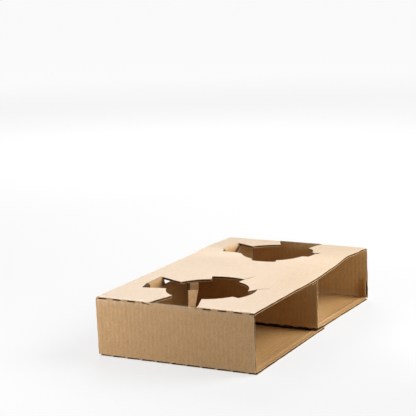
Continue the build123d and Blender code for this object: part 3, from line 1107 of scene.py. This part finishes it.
def mixed(tree, factor, first, second):
    """Mixes two colours by a factor; each may be a socket or a plain colour."""
    node = tree.nodes.new("ShaderNodeMix")
    node.data_type = "RGBA"
    link(tree, factor, node.inputs["Factor"])
    for key, value in (("A", first), ("B", second)):
        socket = [i for i in node.inputs if i.name == key and i.type == "RGBA"][0]
        link(tree, (*value, 1.0) if isinstance(value, tuple) else value, socket)
    return [o for o in node.outputs if o.type == "RGBA"][0]


def fibre_group():
    """Kraft paper's long fibres, cloudy formation and small specks, on the place on the sheet."""
    tree, start, end = group_tree("Kraft fibre", {}, ("Cloud", "Fibre", "Speck", "Height"))
    place = start.outputs["Place"]
    cloud = noise_node(tree, place, 130.0, 4.0, 0.6)
    fibre = noise_node(tree, place, 900.0, 4.0, 0.65, stretch=(0.35, 1.0, 1.0))
    specks = noise_node(tree, place, 1500.0, 2.0, 0.4, stretch=(0.6, 1.0, 1.0))
    link(tree, remap(tree, cloud, 0.3, 0.7), end.inputs["Cloud"])
    link(tree, remap(tree, fibre, 0.3, 0.7), end.inputs["Fibre"])
    link(tree, remap(tree, specks, 0.56, 0.72), end.inputs["Speck"])
    link(tree, fibre, end.inputs["Height"])
    return tree


def flute_lines_group():
    """Faint lines where the flutes under a liner show through."""
    tree, start, end = group_tree("Flute lines", {"Pitch": 3.2 * MM}, ("Line", "Height"))
    split = made_node(tree, "ShaderNodeSeparateXYZ", {0: start.outputs["Place"]})
    skew = math_node(tree, "MULTIPLY", split.outputs["X"], FLUTE_SKEW)
    skewed = math_node(tree, "ADD", split.outputs["Y"], skew)
    crest = flute_wave(tree, skewed, start.outputs["Pitch"])
    broken = remap(tree, noise_node(tree, start.outputs["Place"], 60.0, 2.0, 0.5), 0.3, 0.7)
    even = math_node(tree, "MULTIPLY", remap(tree, crest, -1.0, 1.0), broken)
    streak = noise_node(tree, start.outputs["Place"], 480.0, 4.0, 0.7, stretch=(0.3, 1.0, 1.0))
    streak = math_node(tree, "MULTIPLY", remap(tree, streak, 0.40, 0.66), 0.85)
    line = math_node(tree, "ADD", math_node(tree, "MULTIPLY", even, 0.15), streak)
    link(tree, line, end.inputs["Line"])
    link(tree, crest, end.inputs["Height"])
    return tree


def wear_group():
    """Mask of pale broken fibre along cut edges and folds."""
    tree, start, end = group_tree("Paper wear", {"Edge": 0.0, "Fold": 0.0}, ("Mask",))
    rough = noise_node(tree, start.outputs["Place"], 700.0, 4.0, 0.6)
    edge = math_node(tree, "POWER", start.outputs["Edge"], 3.0)
    fold = math_node(tree, "MULTIPLY", start.outputs["Fold"], 0.55)
    both = math_node(tree, "MAXIMUM", edge, fold)
    link(tree, math_node(tree, "MULTIPLY", both, remap(tree, rough, 0.35, 0.65)), end.inputs["Mask"])
    return tree


def named_value(tree, name, output="Fac"):
    """A value stored on the piece's points."""
    node = tree.nodes.new("ShaderNodeAttribute")
    node.attribute_name = name
    return node.outputs[output]


def placed(tree, group, **inputs):
    """A node group placed in a tree, with its inputs joined or set."""
    node = tree.nodes.new("ShaderNodeGroup")
    node.node_tree = group
    for key, value in inputs.items():
        link(tree, value, node.inputs[key])
    return node


def empty_tree(owner):
    """The cleared node tree of a material or world."""
    owner.use_nodes = True
    owner.node_tree.nodes.clear()
    return owner.node_tree


def kraft_material(name, groups, base, colours, pitch, finish):
    """Kraft paper: cloudy colour, fibres, specks, flute lines and pale wear."""
    material = bpy.data.materials.new(name)
    tree = empty_tree(material)
    shader = tree.nodes.new("ShaderNodeBsdfPrincipled")
    shader.inputs["Sheen Weight"].default_value = finish["sheen"]
    shader.inputs["Sheen Roughness"].default_value = 0.35
    shader.inputs["Sheen Tint"].default_value = SHEEN_TINT
    shader.inputs["Specular IOR Level"].default_value = finish["gloss"]
    made_node(tree, "ShaderNodeOutputMaterial", {"Surface": shader.outputs[0]})
    place = named_value(tree, "sheet", "Vector")
    fibre = placed(tree, groups["fibre"], Place=place)
    lines = placed(tree, groups["lines"], Place=place, Pitch=pitch)
    edge = named_value(tree, "edge")
    fold = named_value(tree, "fold")
    wear = placed(tree, groups["wear"], Place=place, Edge=edge, Fold=fold)
    darker = tuple(c * less for c, less in zip(base, DARKER))
    lighter = tuple(min(1.0, c * 1.20 + 0.01) for c in base)
    coats = (
        (fibre.outputs["Cloud"], 0.45, darker),
        (fibre.outputs["Fibre"], 0.8, lighter),
        (lines.outputs["Line"], finish["lines"], darker),
        (fibre.outputs["Speck"], 0.5, tuple(colours.speck)),
        (wear.outputs["Mask"], finish["worn"], tuple(colours.fibre)),
    )
    colour = base
    for mask, strength, tint in coats:
        colour = mixed(tree, math_node(tree, "MULTIPLY", mask, strength), colour, tint)
    link(tree, colour, shader.inputs["Base Color"])
    least = finish["roughness"] - 0.06
    most = finish["roughness"] + 0.06
    link(tree, remap(tree, fibre.outputs["Fibre"], 0.0, 1.0, least, most), shader.inputs["Roughness"])
    fine = math_node(tree, "MULTIPLY", fibre.outputs["Height"], 0.05)
    broad = math_node(tree, "MULTIPLY", lines.outputs["Height"], finish["relief"])
    height = math_node(tree, "ADD", fine, broad)
    relief = made_node(tree, "ShaderNodeBump", {"Height": height, "Strength": 1.0, "Distance": 1 * MM})
    link(tree, relief.outputs[0], shader.inputs["Normal"])


def paper(name):
    """One of the carrier's paper materials, all of them made on first use."""
    if name not in bpy.data.materials:
        pitch = bpy.context.scene.carrier_sizes.flute_pitch
        colours = bpy.context.scene.carrier_colours
        groups = {"fibre": fibre_group(), "lines": flute_lines_group(), "wear": wear_group()}
        for kind, finish in FINISHES.items():
            kraft_material("kraft_" + kind, groups, tuple(getattr(colours, kind)), colours, pitch, finish)
    return bpy.data.materials[name]


# Operators


class CARRIER_OT_liners(Operator):
    """Build both flat liners of the folded sheet"""

    bl_idname = "carrier.liners"
    bl_label = "Liners"

    def execute(self, context):
        s = context.scene.carrier_sizes
        parts = sheet_parts(s)
        for side, layer in (("outside", OUTER), ("inside", INNER)):
            liner = build_liner("liner_" + side, s, parts, layer)
            liner.data.materials.append(paper("kraft_" + side))
            # Painted shade: the marked faces, outer liner among them, get the inner liner's darker colour
            paint(liner, "indoors", paper("kraft_inside"))
            # Painted shade: the marked faces get the near-black colour of the fluted paper
            paint(liner, "core", paper("kraft_fluted"))
            liner.data.shade_smooth()
            liner.data.set_sharp_from_angle(angle=math.radians(40))
            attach(liner, "root")
            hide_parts("carrier")
        return {"FINISHED"}


class CARRIER_OT_medium(Operator):
    """Build the fluted paper between the liners"""

    bl_idname = "carrier.medium"
    bl_label = "Fluted paper"

    def execute(self, context):
        s = context.scene.carrier_sizes
        sheet = build_medium_base("fluted_paper", s, sheet_parts(s))
        modifier = sheet.modifiers.new("Flutes", "NODES")
        modifier.node_group = flute_tree()
        modifier_input(modifier, "Pitch", s.flute_pitch)
        modifier_input(modifier, "Flute height", s.board - 2 * s.liner - s.medium)
        modifier_input(modifier, "Thickness", s.medium)
        # The fluted paper gets the near-black colour of painted shade
        modifier_input(modifier, "Paper", paper("kraft_fluted"))
        plain_mesh(sheet)
        faces_outwards(sheet)
        sheet.data.shade_smooth()
        sheet.data.set_sharp_from_angle(angle=math.radians(50))
        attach(sheet, "root")
        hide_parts("carrier")
        return {"FINISHED"}


def seen_directly(tree):
    """1 where the camera sees a surface itself, by its reflection or through glass, and 0 elsewhere."""
    rays = tree.nodes.new("ShaderNodeLightPath")
    seen = math_node(tree, "MAXIMUM", rays.outputs["Is Camera Ray"], rays.outputs["Is Glossy Ray"])
    return math_node(tree, "MAXIMUM", seen, rays.outputs["Is Transmission Ray"])


def floor_material(colour):
    """Pale floor that the camera sees near white, with the object's rendered shadow kept on it and a painted
    shadow: its glow is weaker near the carrier and grows far off.
    """
    # Centre of the painted shadow round the carrier
    middle = (0.02, -0.14, 0.0)
    glow = 0.55
    material = bpy.data.materials.new("studio_floor")
    tree = empty_tree(material)
    lit = made_node(tree, "ShaderNodeBsdfDiffuse", {"Color": (*colour, 1.0)})
    place = tree.nodes.new("ShaderNodeTexCoord")
    from_shadow_centre = made_node(tree, "ShaderNodeVectorMath", {0: place.outputs["Object"], 1: middle})
    from_shadow_centre.operation = "DISTANCE"
    # Painted shadow: the glow is weakest near the carrier and grows with distance
    beside = remap(tree, from_shadow_centre.outputs["Value"], 0.05, 0.28, 1.27, 1.43)
    shadow_fade_far = remap(tree, from_shadow_centre.outputs["Value"], 0.6, 2.2, 0.0, 0.28)
    white = made_node(tree, "ShaderNodeEmission", {"Strength": math_node(tree, "ADD", beside, shadow_fade_far)})
    part = math_node(tree, "MULTIPLY", seen_directly(tree), glow)
    mix = made_node(tree, "ShaderNodeMixShader", {0: part, 1: lit.outputs[0], 2: white.outputs[0]})
    made_node(tree, "ShaderNodeOutputMaterial", {"Surface": mix.outputs[0]})
    return material


def soft_light(name, place, target, size, watts):
    """A square soft light at a place, turned towards a target."""
    data = bpy.data.lights.new(name, "AREA")
    data.shape = "SQUARE"
    data.size = size
    data.energy = watts
    lamp = linked_object(name, data)
    lamp.location = place
    lamp.visible_camera = False
    lamp.rotation_euler = (Vector(target) - Vector(place)).to_track_quat("-Z", "Y").to_euler()


def studio_world():
    """Even soft light all round, white where the camera looks past the floor."""
    world = bpy.data.worlds.new("studio")
    tree = empty_tree(world)
    soft = made_node(tree, "ShaderNodeBackground", {"Strength": 0.07})
    white = made_node(tree, "ShaderNodeBackground", {"Color": (0.98, 0.98, 0.98, 1.0)})
    seen = seen_directly(tree)
    mix = made_node(tree, "ShaderNodeMixShader", {0: seen, 1: soft.outputs[0], 2: white.outputs[0]})
    made_node(tree, "ShaderNodeOutputWorld", {"Surface": mix.outputs[0]})
    bpy.context.scene.world = world


def photo_camera():
    """Camera at the photograph's viewing angle."""
    turn, down, roll = (math.radians(a) for a in CAMERA_ANGLES)
    ahead = Vector((math.cos(turn) * math.cos(down), math.sin(turn) * math.cos(down), -math.sin(down)))
    level_right = Vector((math.sin(turn), -math.cos(turn), 0.0))
    level_up = level_right.cross(ahead)
    right = math.cos(roll) * level_right + math.sin(roll) * level_up
    up = -math.sin(roll) * level_right + math.cos(roll) * level_up
    data = bpy.data.cameras.new("camera")
    data.lens = CAMERA_LENS
    data.sensor_width = CAMERA_SENSOR
    camera = linked_object("camera", data)
    turned_axes = Matrix((right, up, -ahead)).transposed().to_4x4()
    camera.matrix_world = Matrix.Translation(CAMERA_PLACE) @ turned_axes
    bpy.context.scene.camera = camera


class CARRIER_OT_stage(Operator):
    """Set up the floor, the soft lights and the camera"""

    bl_idname = "carrier.stage"
    bl_label = "Studio"

    def execute(self, context):
        reach = 30.0
        level = -0.2 * MM
        corners = [(x * reach, y * reach, level) for x, y in ((-1, -1), (1, -1), (1, 1), (-1, 1))]
        mesh = bpy.data.meshes.new("floor")
        mesh.from_pydata(corners, [], [(0, 1, 2, 3)])
        floor = linked_object("floor", mesh)
        mesh.materials.append(floor_material(tuple(context.scene.carrier_colours.floor)))
        for light in LIGHTS:
            soft_light(*light)
        studio_world()
        photo_camera()
        context.scene.view_settings.view_transform = "Standard"
        return {"FINISHED"}


class CARRIER_PT_panel(Panel):
    """The carrier's pieces in the sidebar"""

    bl_label = "Cup carrier"
    bl_idname = "CARRIER_PT_panel"
    bl_space_type = "VIEW_3D"
    bl_region_type = "UI"
    bl_category = "Carrier"

    def draw(self, context):
        layout = self.layout
        for operator in PIECES:
            layout.operator(operator.bl_idname)
        for group in (context.scene.carrier_sizes, context.scene.carrier_colours):
            for key in group.__annotations__:
                layout.prop(group, key)


PIECES = (CARRIER_OT_liners, CARRIER_OT_medium, CARRIER_OT_stage)
CLASSES = (CarrierSizes, CarrierColours) + PIECES + (CARRIER_PT_panel,)


def register():
    for item in CLASSES:
        bpy.utils.register_class(item)
    bpy.types.Scene.carrier_sizes = PointerProperty(type=CarrierSizes)
    bpy.types.Scene.carrier_colours = PointerProperty(type=CarrierColours)


def unregister():
    del bpy.types.Scene.carrier_colours
    del bpy.types.Scene.carrier_sizes
    for item in reversed(CLASSES):
        bpy.utils.unregister_class(item)


def main():
    """Builds every piece in order."""
    register()
    bpy.ops.carrier.liners()
    bpy.ops.carrier.medium()
    bpy.ops.carrier.stage()


if __name__ == "__main__":
    main()
